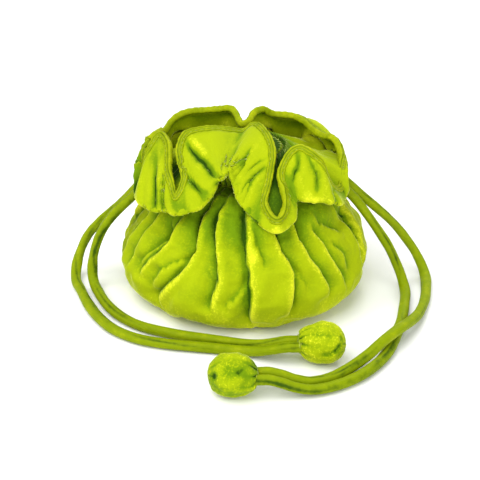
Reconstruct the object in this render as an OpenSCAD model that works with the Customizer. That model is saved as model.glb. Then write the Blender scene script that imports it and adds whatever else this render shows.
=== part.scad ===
// Velvet drawstring gift sack: a round gathered bag with a frilled collar, drawn shut at the neck
// by two tubular cords that end in padded balls. Millimetres, +Z up, origin at the middle of the
// flat base, on the surface that the sack stands on.

/* [Bag] */
// Radius of the bag at its widest
body_r = 55; // [44:1:70]
// Radius of the flat base
base_r = 38; // [30:1:42]
// Height at which the bag is widest
bulge_z = 18; // [14:1:24]
// Height of the underside of the drawstring casing
neck_z = 53; // [42:1:66]
// Squareness of the shoulder, where 2 is round
shoulder_power = 2.5; // [2:0.1:3]
// Thickness of the velvet
velvet_t = 1.2; // [0.8:0.1:1.6]
// Thickness of the satin lining
lining_t = 0.5; // [0.3:0.1:0.8]
// Radius of the stiff board in the base
board_r = 34; // [26:1:36]
// Thickness of the stiff board
board_t = 1; // [0.8:0.1:2]

/* [Drawstring casing] */
// Radius of the gathered mouth inside the casing
mouth_r = 9.5; // [8:0.5:12]
// Thickness of the casing strip
casing_t = 1; // [0.6:0.1:1.4]
// Height of the sewn hem above and below the cords
hem_h = 1.6; // [1.2:0.1:2.4]
// Free space round a cord in the casing
cord_slack = 0.4; // [0.3:0.1:0.8]
// Number of stitches in each row
stitch_count = 36; // [24:1:48]
// Thickness of the sewing thread
thread_d = 0.5; // [0.4:0.1:0.7]
// Width of the worked edge of a buttonhole
buttonhole_edge = 0.8; // [0.6:0.1:1]

/* [Cords and balls] */
// Diameter of a tubular cord
cord_d = 4.6; // [3.6:0.1:5.6]
// Radius of a ball across its cord
ball_r = 8; // [6.6:0.1:9.6]
// Half the length of a ball along its cord
ball_half = 8.8; // [7.2:0.1:10.6]
// Thickness of the cover on a ball
cover_t = 1; // [0.6:0.1:1.4]
// Radius of the gathered hole in a cover
cover_hole_r = 3; // [2:0.1:3.6]

/* [Collar] */
// Number of flutes round the collar
flutes = 10; // [8:2:12]
// Radius of the edge at the top of a ridge
ridge_r = 29; // [24:1:38]
// Height of the edge at the top of a ridge, above the casing
ridge_rise = 7; // [5:1:14]
// Radius of the edge at the foot of a hollow
hollow_r = 46; // [38:1:48]
// Height of the bound edge above the shoulder of the bag, at the foot of a hollow
hollow_gap = 3; // [2:0.5:8]
// Thickness of the bound edge
binding_d = 2.6; // [2:0.1:3.4]

/* [Hidden] */

gap = 0.1;           // between layers that are sewn together
clearance = 0.4;     // between pieces that move on each other
curve_fn = 72;
velvet = "yellowgreen";
satin = "olivedrab";

// Casing, from the mouth outwards and from the neck upwards
channel_r = mouth_r + casing_t;
casing_r = channel_r + cord_d + 2 * cord_slack + casing_t;
loop_r = channel_r + cord_slack + cord_d / 2;
left_z = neck_z + hem_h + cord_slack + cord_d / 2;
right_z = left_z + cord_d + 2 * cord_slack;
casing_top = right_z + cord_d / 2 + cord_slack + hem_h;

// The two ends of one cord lie side by side in their buttonhole
cord_side = cord_d / 2 + 0.3;
slot_h = cord_d + 2 * clearance;
slot_w = 2 * cord_side + slot_h;
loop_gap = asin((slot_w / 2 + clearance) / (loop_r - cord_d / 2));
cord_inner_x = channel_r + cord_slack;
cord_outer_x = casing_r + 7;

// Where each ball lies, and where its cords enter it
ball_tie_d = 1.2;
ball_x = [32, -5];
ball_y = [-70, -93.4];
ball_swing_gap = 2.2;
ball_neck = ball_half + ball_tie_d / 2 + ball_swing_gap;

// Routes of the cords, from the shoulder of the bag to the ball
left_outer_way = [[-33, 2.4, 55.2], [-41, 1.8, 51.8], [-46.6, 1, 47.8], [-51, 0.8, 43.2],
    [-55.4, 1.6, 38.4], [-60.4, 3, 33], [-66, 4.2, 27.4], [-71, 5, 21.6], [-75.2, 5.2, 14],
    [-77.6, 3.6, 7.2], [-78, -1.6, 3.2], [-76.8, -8, 2.4], [-74, -15, 2.4], [-69.5, -27, 2.4],
    [-63.5, -39, 2.4], [-55.5, -49.6, 2.4], [-45.5, -56.6, 2.4], [-34, -60.6, 2.4],
    [-22, -62.8, 2.4], [-9, -65, 2.4], [0, -66.8, 2.6], [6, -69, 3.9], [12, -71.4, 6.3]];
left_inner_way = [[-33, -3, 55], [-41, -4, 51.7], [-46.4, -4.8, 47.7], [-50.6, -5.2, 43.6],
    [-55.3, -5.4, 39.2], [-60, -5.4, 33.8], [-64.4, -5.4, 27], [-67.6, -5.6, 19],
    [-69.2, -6.4, 11], [-69.2, -8.4, 5.6], [-68, -11.6, 3], [-66.2, -16, 2.4],
    [-61, -28, 2.4], [-53.5, -38.8, 2.4], [-44, -46.8, 2.4], [-34, -51.6, 2.4],
    [-22, -55.4, 2.4], [-9, -58.6, 2.4], [0, -61.2, 2.6], [6, -63.6, 3.9], [12, -66.2, 6.3]];
right_outer_way = [[31, 2.4, 60.4], [37, 1.8, 56.2], [42.4, 1.2, 51.8], [47.6, 0.8, 47.2],
    [53.6, 0.8, 41.8], [60, 1.2, 36], [66, 2.6, 30], [71.4, 4.2, 23.6], [76.6, 5.4, 16.2],
    [80.8, 5.6, 9.6], [83.4, 2.6, 4.6], [84, -4, 2.6], [83.2, -11, 2.4], [81.2, -22, 2.5],
    [76.6, -36.4, 3.4], [71, -48, 5.6], [64.8, -57.4, 7.5], [57.8, -65.6, 7.1], [50, -73.8, 4.9],
    [42, -80.4, 3], [34, -86.4, 2.4], [26, -89.8, 2.8], [20, -90.8, 4.6],
    [14, -91, 7]];
right_inner_way = [[30.6, -3, 60], [36, -3.8, 55.8], [41, -5, 51.8], [46, -6.6, 47.6],
    [50.6, -8, 42.9], [55.2, -9, 36.8], [60, -9.6, 29.8], [65, -9.6, 21.8],
    [69, -9.2, 13.4], [71.8, -9.8, 6.8], [73, -13, 3.2], [72.9, -18.4, 2.4], [71.8, -25, 2.4],
    [68.6, -40, 2.4], [64.6, -53, 2.4], [60, -65.6, 2.4], [54, -76, 2.4], [46, -84.8, 2.4],
    [36.4, -91.4, 2.4], [27, -95, 2.8], [20, -96.2, 4.6], [14, -96.4, 7]];

// Vector helpers
function unit(v) = v / norm(v);
function turn_left(v) = [-v[1], v[0]];
function blend(a, b, t) = a + (b - a) * t;

// Side of the bag, from the edge of the base up to the neck, as [radius, height]
foot_steps = 8;
shoulder_steps = 18;
function foot_point(a) = [base_r + (body_r - base_r) * sin(a), bulge_z * (1 - cos(a))];
function shoulder_point(a) = [
    casing_r + (body_r - casing_r) * pow(cos(a), 2 / shoulder_power),
    bulge_z + (neck_z - bulge_z) * pow(sin(a), 2 / shoulder_power)];
side_line = concat(
    [for (i = [0 : foot_steps]) foot_point(90 * i / foot_steps)],
    [for (i = [1 : shoulder_steps]) shoulder_point(90 * i / shoulder_steps)],
    [[mouth_r, neck_z]]);
function shoulder_z(r) = let (share = (r - casing_r) / (body_r - casing_r))
    bulge_z + (neck_z - bulge_z) * pow(1 - pow(share, shoulder_power), 1 / shoulder_power);

// Moves an outline inwards by d, keeping its two ends level
function inset(line, d) = [for (i = [0 : len(line) - 1])
    let (last = len(line) - 1,
        along = i == 0 ? [1, 0] : i == last ? [-1, 0] : unit(line[i + 1] - line[i - 1]))
    line[i] + turn_left(along) * d];

// Closed wall between two offsets of the side; its floor starts at the height low
module bag_wall(outer_d, inner_d, low) {
    thick = inner_d - outer_d;
    outer = [for (p = inset(side_line, outer_d)) [p[0], min(max(p[1], low), neck_z)]];
    inner = [for (p = inset(side_line, inner_d)) [p[0], min(max(p[1], low + thick), neck_z)]];
    reversed = [for (i = [len(inner) - 1 : -1 : 0]) inner[i]];
    rotate_extrude($fn = curve_fn)
        polygon(concat([[0, low]], outer, reversed, [[0, low + thick]]));
}

module outer_shell() {
    color(velvet) bag_wall(0, velvet_t, 0);
}

module shell_lining() {
    start = velvet_t + gap;
    color(satin) bag_wall(start, start + lining_t, start + board_t + gap);
}

module base_board() {
    color("tan")
        translate([0, 0, velvet_t + gap / 2])
            cylinder(h = board_t, r = board_r, $fn = curve_fn);
}

// Stadium-shaped slot along +X, for two cords side by side
module slot_outline(grow) {
    reach = cord_side;
    for (side = [-1, 1])
        translate([0, side * reach]) circle(d = slot_h + 2 * grow, $fn = 32);
    square([slot_h + 2 * grow, 2 * reach], center = true);
}

// The same slot as a bar, lying along +X from x
module slot_bar(grow, x, length) {
    translate([x, 0, 0]) rotate([0, 90, 0]) linear_extrude(length) slot_outline(grow);
}

module ring_tube(r, d, from_angle, sweep) {
    rotate([0, 0, from_angle])
        rotate_extrude(angle = sweep, $fn = curve_fn)
            translate([r, 0]) circle(d = d, $fn = 32);
}

module drawstring_casing() {
    channel_w = cord_d + 2 * cord_slack;
    color(velvet) difference() {
        translate([0, 0, neck_z])
            rotate_extrude($fn = curve_fn)
                translate([mouth_r, 0]) square([casing_r - mouth_r, casing_top - neck_z]);
        translate([0, 0, neck_z + hem_h])
            rotate_extrude($fn = curve_fn)
                translate([channel_r, 0]) square([channel_w, casing_top - neck_z - 2 * hem_h]);
        translate([0, 0, left_z])
            mirror([1, 0, 0]) slot_bar(buttonhole_edge + gap / 2, loop_r, casing_r);
        translate([0, 0, right_z]) slot_bar(buttonhole_edge + gap / 2, loop_r, casing_r);
    }
}

// One row of stitches round the outside of the casing, left out where a buttonhole is
module stitch_row(z, hole_angle) {
    stitch_l = 0.6 * 2 * PI * casing_r / stitch_count;
    hole_half = asin((slot_w / 2 + buttonhole_edge + stitch_l / 2 + gap) / casing_r);
    for (i = [0 : stitch_count - 1]) {
        a = (i + 0.5) * 360 / stitch_count;
        from_hole = abs((a - hole_angle + 540) % 360 - 180);
        if (from_hole > hole_half)
            rotate([0, 0, a])
                translate([casing_r + thread_d / 2 + gap / 2, 0, z])
                    rotate([90, 0, 0])
                        cylinder(h = stitch_l, d = thread_d, center = true, $fn = 16);
    }
}

module lower_stitches() {
    color(satin) stitch_row(neck_z + hem_h / 2, 180);
}

module upper_stitches() {
    color(satin) stitch_row(casing_top - hem_h / 2, 0);
}

// Worked edge that lines a buttonhole, and stands a little proud of the casing
module buttonhole() {
    lip = thread_d;
    depth = casing_t + 1.6;
    color(satin) translate([casing_r + lip - depth, 0, 0])
        rotate([0, 90, 0])
            linear_extrude(depth) difference() {
                slot_outline(buttonhole_edge);
                slot_outline(0);
            }
}

module left_buttonhole() {
    translate([0, 0, left_z]) mirror([1, 0, 0]) buttonhole();
}

module right_buttonhole() {
    translate([0, 0, right_z]) buttonhole();
}

module cord_loop(z, hole_angle) {
    color(satin) translate([0, 0, z])
        ring_tube(loop_r, cord_d, hole_angle + loop_gap, 360 - 2 * loop_gap);
}

module left_cord_loop() {
    cord_loop(left_z, 180);
}

module right_cord_loop() {
    cord_loop(right_z, 0);
}

// Collar: at an angle a, v runs from 0 at the casing to 1 at the edge
flute_steps = 10;    // round one flute
rib_steps = 6;       // from the casing to the edge
collar_r = (mouth_r + casing_r) / 2 + 1;
ridge_z = casing_top + ridge_rise;
hollow_z = shoulder_z(hollow_r) + binding_d + hollow_gap;
function collar_rib(a) = let (ridge = (1 + cos(flutes * a)) / 2)
    [[collar_r, casing_top],
    [collar_r, casing_top + blend(4, ridge_rise, ridge)],
    blend([hollow_r - 12, hollow_z + 14], [ridge_r - 7, ridge_z + 2], ridge),
    blend([hollow_r, hollow_z], [ridge_r, ridge_z], ridge)];
function bezier(p, v) = pow(1 - v, 3) * p[0] + 3 * v * pow(1 - v, 2) * p[1]
    + 3 * v * v * (1 - v) * p[2] + pow(v, 3) * p[3];
function collar_point(a, v) = let (p = bezier(collar_rib(a), v))
    [p[0] * cos(a), p[0] * sin(a), p[1]];
function along_rib(a, v) = unit(collar_point(a, v + 0.01) - collar_point(a, v - 0.01));
function collar_normal(a, v) = v == 0 ? [cos(a), sin(a), 0]
    : unit(cross(along_rib(a, v), collar_point(a + 0.2, v) - collar_point(a - 0.2, v)));
// The layers lie outside and inside the middle surface: d is positive towards the bag
function collar_offset(a, v, d) = collar_point(a, v)
    + (v == 0 ? [cos(a), sin(a), 0] : -collar_normal(a, v) * normal_sign) * d;
normal_sign = sign(collar_normal(0, 0.5)[2]);

// A ring of closed sections: every row holds the same number of points, clockwise or not.
// Both halves of a row are split along the same diagonals, so that nested layers fit.
module ring_of_sections(rows, inside_out = false) {
    n = len(rows);
    m = len(rows[0]);
    polyhedron(
        points = [for (row = rows) each row],
        faces = [for (i = [0 : n - 1]) for (j = [0 : m - 1]) each
            let (k = (i + 1) % n, l = (j + 1) % m,
                a = i * m + j, b = inside_out ? i * m + l : k * m + j,
                c = k * m + l, d = inside_out ? k * m + j : i * m + l)
            j < m / 2 ? [[a, b, c], [a, c, d]] : [[a, b, d], [b, c, d]]],
        convexity = 10);
}

module collar_layer(from_d, to_d) {
    steps = flutes * flute_steps;
    ring_of_sections([for (i = [0 : steps - 1]) let (a = 360 * i / steps)
        concat([for (j = [0 : rib_steps]) collar_offset(a, j / rib_steps, to_d)],
            [for (j = [rib_steps : -1 : 0]) collar_offset(a, j / rib_steps, from_d)])],
        inside_out = true);
}

module collar_velvet() {
    color(velvet) collar_layer(gap / 2, gap / 2 + velvet_t);
}

module collar_facing() {
    color(satin) collar_layer(-gap / 2 - lining_t, -gap / 2);
}

module collar_binding() {
    steps = flutes * flute_steps;
    sides = 8;
    color(satin) ring_of_sections([for (i = [0 : steps - 1])
        let (a = 360 * i / steps, out = along_rib(a, 1), flat = collar_normal(a, 1),
            middle = collar_offset(a, 1, (velvet_t - lining_t) / 2) + out * (binding_d / 2 + gap))
        [for (j = [0 : sides - 1]) let (b = 360 * (j + 0.5) / sides)
            middle + (out * cos(b) - flat * normal_sign * sin(b)) * binding_d / 2]]);
}

// Closed tube through the points of a route, with one ring halfway between each two points
tube_sides = 8;
function halfway(p, i) = let (before = p[max(i - 1, 0)], after = p[min(i + 2, len(p) - 1)])
    (9 * (p[i] + p[i + 1]) - before - after) / 16;
function smooth_way(p) = concat([for (i = [0 : len(p) - 2]) each [p[i], halfway(p, i)]],
    [p[len(p) - 1]]);
module tube(points, d) {
    p = smooth_way(points);
    last = len(p) - 1;
    rings = [for (i = [0 : last]) let (
            t = unit(p[min(i + 1, last)] - p[max(i - 1, 0)]),
            side = unit(cross(t, [0, 0, 1])),
            up = cross(side, t))
        [for (j = [0 : tube_sides - 1]) let (b = 360 * (j + 0.5) / tube_sides)
            p[i] + (side * cos(b) + up * sin(b)) * d / 2]];
    polyhedron(
        points = [for (ring = rings) each ring],
        faces = concat(
            [[for (j = [tube_sides - 1 : -1 : 0]) j]],
            [[for (j = [0 : tube_sides - 1]) last * tube_sides + j]],
            [for (i = [0 : last - 1]) for (j = [0 : tube_sides - 1])
                let (l = (j + 1) % tube_sides, a = i * tube_sides, b = (i + 1) * tube_sides)
                each [[a + j, a + l, b + j], [b + j, a + l, b + l]]]),
        convexity = 6);
}

// A cord's whole free route: straight out of its buttonhole, over the shoulder, to its ball
module cord(side_x, side_y, z, way, ball) {
    start = [for (x = [cord_inner_x, cord_outer_x]) [side_x * x, side_y * cord_side, z]];
    finish = [for (reach = [ball_neck + 3, ball_neck]) [ball_x[ball] - side_of_ball(ball) * reach,
        ball_y[ball] + end_side(way) * cord_side, ball_r]];
    color(velvet) tube(concat(start, way, finish), cord_d);
}
// A ball lies past the end of its cords, to their right or left
function side_of_ball(ball) = ball == 0 ? 1 : -1;
function end_side(way) = way == left_outer_way || way == right_inner_way ? -1 : 1;

module left_cord_outer() {
    cord(-1, 1, left_z, left_outer_way, 0);
}

module left_cord_inner() {
    cord(-1, -1, left_z, left_inner_way, 0);
}

module right_cord_outer() {
    cord(1, 1, right_z, right_outer_way, 1);
}

module right_cord_inner() {
    cord(1, -1, right_z, right_inner_way, 1);
}

// A ball's own axis is X, with the cords on its -X side
ball_steps = 16;
function ball_outline(inset_d, from_angle) = [for (i = [0 : ball_steps])
    let (a = from_angle + (180 - from_angle) * i / ball_steps)
    [(ball_r - inset_d) * sin(a), -(ball_half - inset_d) * cos(a)]];

module at_ball(ball) {
    translate([ball_x[ball], ball_y[ball], ball_r])
        rotate([0, 0, ball == 0 ? 0 : 180])
            rotate([0, 90, 0]) children();
}

module ball_cover() {
    hole_angle = asin(cover_hole_r / ball_r);
    outer = ball_outline(0, hole_angle);
    inner = ball_outline(cover_t, hole_angle);
    color(velvet) rotate_extrude($fn = 48)
        polygon(concat(outer, [for (i = [ball_steps : -1 : 0]) inner[i]]));
}

module ball_filling() {
    color("ivory") rotate_extrude($fn = 48) polygon(ball_outline(cover_t + gap, 0));
}

// Thread that draws the cover shut round the cords
module ball_tie() {
    tie_z = -ball_half * cos(asin(cover_hole_r / ball_r)) - ball_tie_d / 2;
    color(satin) translate([0, 0, tie_z])
        rotate_extrude($fn = 48) translate([cover_hole_r + ball_tie_d / 2, 0])
            circle(d = ball_tie_d - gap, $fn = 16);
}

module left_ball_cover() {
    at_ball(0) ball_cover();
}

module left_ball_filling() {
    at_ball(0) ball_filling();
}

module left_ball_tie() {
    at_ball(0) ball_tie();
}

module right_ball_cover() {
    at_ball(1) ball_cover();
}

module right_ball_filling() {
    at_ball(1) ball_filling();
}

module right_ball_tie() {
    at_ball(1) ball_tie();
}

outer_shell();
shell_lining();
base_board();
drawstring_casing();
lower_stitches();
upper_stitches();
left_buttonhole();
right_buttonhole();
left_cord_loop();
right_cord_loop();
collar_velvet();
collar_facing();
collar_binding();
left_cord_outer();
left_cord_inner();
left_ball_cover();
left_ball_filling();
left_ball_tie();
right_cord_outer();
right_cord_inner();
right_ball_cover();
right_ball_filling();
right_ball_tie();
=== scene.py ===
import bpy, math
import numpy as np
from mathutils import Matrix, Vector, noise


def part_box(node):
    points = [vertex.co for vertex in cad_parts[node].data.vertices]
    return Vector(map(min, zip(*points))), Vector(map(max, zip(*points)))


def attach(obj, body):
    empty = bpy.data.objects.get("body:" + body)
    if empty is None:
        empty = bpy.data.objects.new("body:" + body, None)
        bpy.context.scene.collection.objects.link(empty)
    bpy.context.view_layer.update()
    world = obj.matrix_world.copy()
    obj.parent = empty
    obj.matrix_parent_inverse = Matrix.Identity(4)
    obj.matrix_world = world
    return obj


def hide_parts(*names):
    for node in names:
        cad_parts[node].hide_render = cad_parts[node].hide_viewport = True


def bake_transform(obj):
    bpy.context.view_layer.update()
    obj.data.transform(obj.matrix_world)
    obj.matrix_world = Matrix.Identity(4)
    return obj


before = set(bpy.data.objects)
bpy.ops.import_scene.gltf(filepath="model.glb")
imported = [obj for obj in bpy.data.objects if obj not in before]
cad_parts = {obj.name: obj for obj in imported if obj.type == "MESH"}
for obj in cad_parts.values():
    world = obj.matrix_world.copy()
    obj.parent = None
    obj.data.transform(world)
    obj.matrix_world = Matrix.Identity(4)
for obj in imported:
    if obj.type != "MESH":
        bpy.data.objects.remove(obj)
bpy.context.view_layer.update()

mm = 0.001
rng = np.random.default_rng(11)
print("frame loaded")

# Camera: low three-quarter view from the front
camera = {"elevation": 27, "distance": 0.52, "target": (-0.0018, 0, 0.02), "lens": 85}


def makeCamera():
    data = bpy.data.cameras.new("camera")
    data.lens = camera["lens"]
    data.sensor_width = 36
    obj = bpy.data.objects.new("camera", data)
    bpy.context.scene.collection.objects.link(obj)
    e = math.radians(camera["elevation"])
    target = Vector(camera["target"])
    obj.location = target + Vector((0, -math.cos(e), math.sin(e))) * camera["distance"]
    obj.rotation_euler = (math.pi / 2 - e, 0, 0)
    bpy.context.scene.camera = obj


makeCamera()


# Small helpers for curves and meshes
def unit(v):
    v = np.asarray(v, float)
    return v / np.maximum(np.linalg.norm(v, axis=-1, keepdims=True), 1e-12)


# 0 up to start, 1 from there on, over the given stretch
def rise(x, start, over):
    return np.clip((x - start) / over, 0, 1)


def fall(x, end, over):
    return np.clip((end - x) / over, 0, 1)


def bell(x, width=1.0):
    return np.exp(-(x / width) ** 2)


def circle(count):
    return 2 * math.pi * np.arange(count) / count


# a Catmull-Rom curve through the points
def smoothLine(points, per, closed=False):
    p = np.asarray(points, float)
    n = len(p)
    out = []
    for i in range(n if closed else n - 1):
        if closed:
            a, b, c, d = p[(i - 1) % n], p[i], p[(i + 1) % n], p[(i + 2) % n]
        else:
            a, b, c, d = p[max(i - 1, 0)], p[i], p[i + 1], p[min(i + 2, n - 1)]
        ta = max(np.linalg.norm(b[:3] - a[:3]), 1e-6) ** 0.5
        tb = max(np.linalg.norm(c[:3] - b[:3]), 1e-6) ** 0.5
        tc = max(np.linalg.norm(d[:3] - c[:3]), 1e-6) ** 0.5
        m1 = (c - b + tb * ((b - a) / ta - (c - a) / (ta + tb)))
        m2 = (c - b + tb * ((d - c) / tc - (d - b) / (tb + tc)))
        t = np.linspace(0, 1, per, endpoint=False)[:, None]
        out.append((2 * t**3 - 3 * t**2 + 1) * b + (t**3 - 2 * t**2 + t) * m1
                   + (3 * t**2 - 2 * t**3) * c + (t**3 - t**2) * m2)
    if not closed:
        out.append(p[-1:])
    return np.concatenate(out)


def evenLine(points, step):
    length = np.concatenate([[0], np.cumsum(np.linalg.norm(np.diff(points, axis=0), axis=1))])
    n = max(int(round(length[-1] / step)), 2)
    s = np.linspace(0, length[-1], n + 1)
    return np.stack([np.interp(s, length, points[:, k]) for k in range(3)], 1)


def lineLength(points):
    return float(np.linalg.norm(np.diff(points, axis=0), axis=1).sum())


# smooth noise of about -1 to 1 at each point
def fieldNoise(points, scale, seed, octaves=3):
    out = np.empty(len(points))
    shift = Vector((seed * 7.31, seed * 3.77, seed * 5.13))
    for i, p in enumerate(points):
        out[i] = noise.fractal(Vector(p) * scale + shift, 1.0, 2.0, octaves)
    return out


def addMesh(name, verts, faces, attributes=None):
    mesh = bpy.data.meshes.new(name)
    verts = np.asarray(verts, float).reshape(-1, 3)
    mesh.from_pydata([tuple(v) for v in verts], [], [tuple(int(i) for i in f) for f in faces])
    for key, values in (attributes or {}).items():
        layer = mesh.attributes.new(key, "FLOAT", "POINT")
        layer.data.foreach_set("value", np.asarray(values, np.float32).ravel())
    mesh.update()
    mesh.polygons.foreach_set("use_smooth", [True] * len(mesh.polygons))
    obj = bpy.data.objects.new(name, mesh)
    bpy.context.scene.collection.objects.link(obj)
    return obj


def gridFaces(rows, cols, closeRows=False, closeCols=False, flip=False):
    faces = []
    for i in range(rows if closeRows else rows - 1):
        for j in range(cols if closeCols else cols - 1):
            k, l = (i + 1) % rows, (j + 1) % cols
            face = (i * cols + j, i * cols + l, k * cols + l, k * cols + j)
            faces.append(face[::-1] if flip else face)
    return faces


# rings of points, then one point that closes each end, or only the first end
def cappedFaces(rows, cols, flip=False, ends=2):
    point, last = rows * cols, (rows - 1) * cols
    faces = [(point, (j + 1) % cols, j) for j in range(cols)]
    if ends == 2:
        faces += [(point + 1, last + j, last + (j + 1) % cols) for j in range(cols)]
    return gridFaces(rows, cols, closeCols=True, flip=flip) + [f[::-1] if flip else f for f in faces]


def useOnly(obj, material):
    obj.data.materials.clear()
    obj.data.materials.append(material)


def setUp(obj, body, replaced, material=None):
    if material:
        useOnly(obj, material)
    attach(obj, body)
    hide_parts(replaced)


def applyModifiers(obj):
    dg = bpy.context.evaluated_depsgraph_get()
    mesh = bpy.data.meshes.new_from_object(obj.evaluated_get(dg), depsgraph=dg)
    obj.modifiers.clear()
    old = obj.data
    obj.data = mesh
    mesh.name = obj.name
    bpy.data.meshes.remove(old)


def thicken(obj, thickness):
    m = obj.modifiers.new("thickness", "SOLIDIFY")
    m.thickness = thickness
    m.offset = -1
    applyModifiers(obj)


# Materials
def shaderTree(name):
    mat = bpy.data.materials.new(name)
    mat.use_nodes = True
    tree = mat.node_tree
    tree.nodes.clear()
    out = tree.nodes.new("ShaderNodeOutputMaterial")
    shader = tree.nodes.new("ShaderNodeBsdfPrincipled")
    tree.links.new(shader.outputs[0], out.inputs["Surface"])
    return mat, tree, shader


def node(tree, kind, links=(), **values):
    made = tree.nodes.new(kind)
    for key, value in values.items():
        if hasattr(made, key):
            setattr(made, key, value)
        else:
            made.inputs[key.replace("_", " ")].default_value = value
    for key, socket in dict(links).items():
        tree.links.new(socket, made.inputs[key])
    return made


# each value is a socket or a number
def calc(tree, operation, *values):
    made = tree.nodes.new("ShaderNodeMath")
    made.operation = operation
    for slot, value in zip(made.inputs, values):
        if isinstance(value, bpy.types.NodeSocket):
            tree.links.new(value, slot)
        else:
            slot.default_value = value
    return made.outputs[0]


def noiseNode(tree, coords, scale, **values):
    return node(tree, "ShaderNodeTexNoise", [("Vector", coords)], Scale=scale, **values).outputs["Fac"]


# bumps one over the other: height, strength and distance of each
def addBumps(tree, shader, *bumps):
    below = []
    for height, strength, distance in bumps:
        made = node(tree, "ShaderNodeBump", [("Height", height)] + below,
                    Strength=strength, Distance=distance)
        below = [("Normal", made.outputs["Normal"])]
    tree.links.new(made.outputs["Normal"], shader.inputs["Normal"])


def setSheen(shader, specular, weight, roughness, tint):
    shader.inputs["Specular IOR Level"].default_value = specular
    shader.inputs["Sheen Weight"].default_value = weight
    shader.inputs["Sheen Roughness"].default_value = roughness
    shader.inputs["Sheen Tint"].default_value = tint


def colourRamp(tree, fac, shader, stops):
    ramp = tree.nodes.new("ShaderNodeValToRGB")
    ramp.color_ramp.interpolation = "EASE"
    while len(ramp.color_ramp.elements) < len(stops):
        ramp.color_ramp.elements.new(0.5)
    for element, (place, colour) in zip(ramp.color_ramp.elements, stops):
        element.position = place
        element.color = (*colour, 1)
    tree.links.new(fac, ramp.inputs["Fac"])
    tree.links.new(ramp.outputs["Color"], shader.inputs["Base Color"])


def roughnessBetween(tree, shader, fac, low, high):
    rough = node(tree, "ShaderNodeMapRange", [("Value", fac)], To_Min=low, To_Max=high)
    tree.links.new(rough.outputs["Result"], shader.inputs["Roughness"])


def meshValue(tree, name):
    return node(tree, "ShaderNodeAttribute", attribute_name=name).outputs["Fac"]


# Velvet colour: painted shade deep in its folds, painted highlight in yellow where light catches the pile
velvetLook = {
    "paintedShade": (0.022, 0.07, 0.0005), "shade": (0.14, 0.25, 0.001), "pile": (0.35, 0.44, 0.002),
    "highlight": (0.7, 0.74, 0.02), "stops": (0, 0.28, 0.56, 0.88), "shadeShare": -0.72, "highlightShare": 0.4,
    "patchSize": 0.013, "patch": 0.3, "ground": 0.28, "fleckSize": 0.0009, "glintStrength": 0.5,
    "bump": 0.3, "sheen": 0.8, "sheenTint": (0.92, 1, 0.3, 1),
}


def velvetMaterial(name, dark=0.0, glintStrength=velvetLook["glintStrength"]):
    look = velvetLook
    mat, tree, shader = shaderTree(name)
    coords = node(tree, "ShaderNodeTexCoord").outputs["Object"]
    paintedShade, paintedHighlight = meshValue(tree, "paintedShade"), meshValue(tree, "paintedHighlight")
    patch = noiseNode(tree, coords, 1 / look["patchSize"], Detail=2, Roughness=0.45, Distortion=0.2)
    fine = noiseNode(tree, coords, 1 / look["fleckSize"], Detail=3, Roughness=0.7)
    pile = noiseNode(tree, coords, 2600, Detail=2)
    # brightness = patches + painted highlight + painted glints - painted shade
    light = calc(tree, "MULTIPLY_ADD", patch, look["patch"], look["ground"] - dark)
    light = calc(tree, "MULTIPLY_ADD", paintedHighlight, look["highlightShare"], light)
    # painted glints: bright specks where the pile would catch the light
    glint = node(tree, "ShaderNodeMapRange", [("Value", fine)], From_Min=0.5, From_Max=0.8).outputs["Result"]
    light = calc(tree, "ADD", light, calc(tree, "MULTIPLY", calc(tree, "MULTIPLY", glint, paintedHighlight), glintStrength))
    light = calc(tree, "MULTIPLY_ADD", paintedShade, look["shadeShare"], light)
    colours = [look[key] for key in ("paintedShade", "shade", "pile", "highlight")]
    colourRamp(tree, light, shader, list(zip(look["stops"], colours)))
    roughnessBetween(tree, shader, patch, 0.72, 0.95)
    addBumps(tree, shader, (fine, look["bump"], 0.0004), (pile, 0.2, 0.0002))
    setSheen(shader, 0.08, look["sheen"], 0.25, look["sheenTint"])
    return mat


# Satin: a tight slanted weave with a soft gloss
satinLook = {
    "low": (0.035, 0.08, 0.001), "middle": (0.21, 0.285, 0.001), "high": (0.42, 0.47, 0.004),
    "stops": (0.05, 0.45, 0.85), "cloud": 0.55, "ground": 0.2, "slub": 0.14, "shadeShare": -0.6,
    "wale": 0.00042, "roughness": 0.45, "sheen": 0.08, "sheenTint": (0.9, 1, 0.25, 1),
}


def satinMaterial(name, lift):
    look = satinLook
    mat, tree, shader = shaderTree(name)
    coords = node(tree, "ShaderNodeTexCoord").outputs["Object"]
    weave = node(tree, "ShaderNodeTexWave", [("Vector", coords)],
                 wave_type="BANDS", bands_direction="DIAGONAL",
                 Scale=1 / look["wale"] / 6.28, Distortion=1.5, Detail=2).outputs["Fac"]
    cloud = noiseNode(tree, coords, 210, Detail=4, Roughness=0.6)
    slub = noiseNode(tree, coords, 900, Detail=2)
    light = calc(tree, "MULTIPLY_ADD", cloud, look["cloud"], look["ground"] + lift)
    light = calc(tree, "MULTIPLY_ADD", slub, look["slub"], light)
    # painted shade read from the mesh: in folds and creases, and on the shaded side of each cord
    light = calc(tree, "MULTIPLY_ADD", meshValue(tree, "paintedShade"), look["shadeShare"], light)
    colours = [look[key] for key in ("low", "middle", "high")]
    colourRamp(tree, light, shader, list(zip(look["stops"], colours)))
    roughnessBetween(tree, shader, weave, look["roughness"], look["roughness"] + 0.2)
    addBumps(tree, shader, (weave, 0.25, 0.00015), (slub, 0.2, 0.0004))
    setSheen(shader, 0.06, look["sheen"], 0.3, look["sheenTint"])
    return mat


def threadMaterial(name, low, high):
    mat, tree, shader = shaderTree(name)
    coords = node(tree, "ShaderNodeTexCoord").outputs["Object"]
    twist = node(tree, "ShaderNodeTexWave", [("Vector", coords)], bands_direction="DIAGONAL",
                 Scale=900, Distortion=0.4).outputs["Fac"]
    colourRamp(tree, noiseNode(tree, coords, 700, Detail=2), shader, [(0.3, low), (0.7, high)])
    addBumps(tree, shader, (twist, 0.5, 0.0001))
    shader.inputs["Roughness"].default_value = 0.55
    return mat


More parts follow.
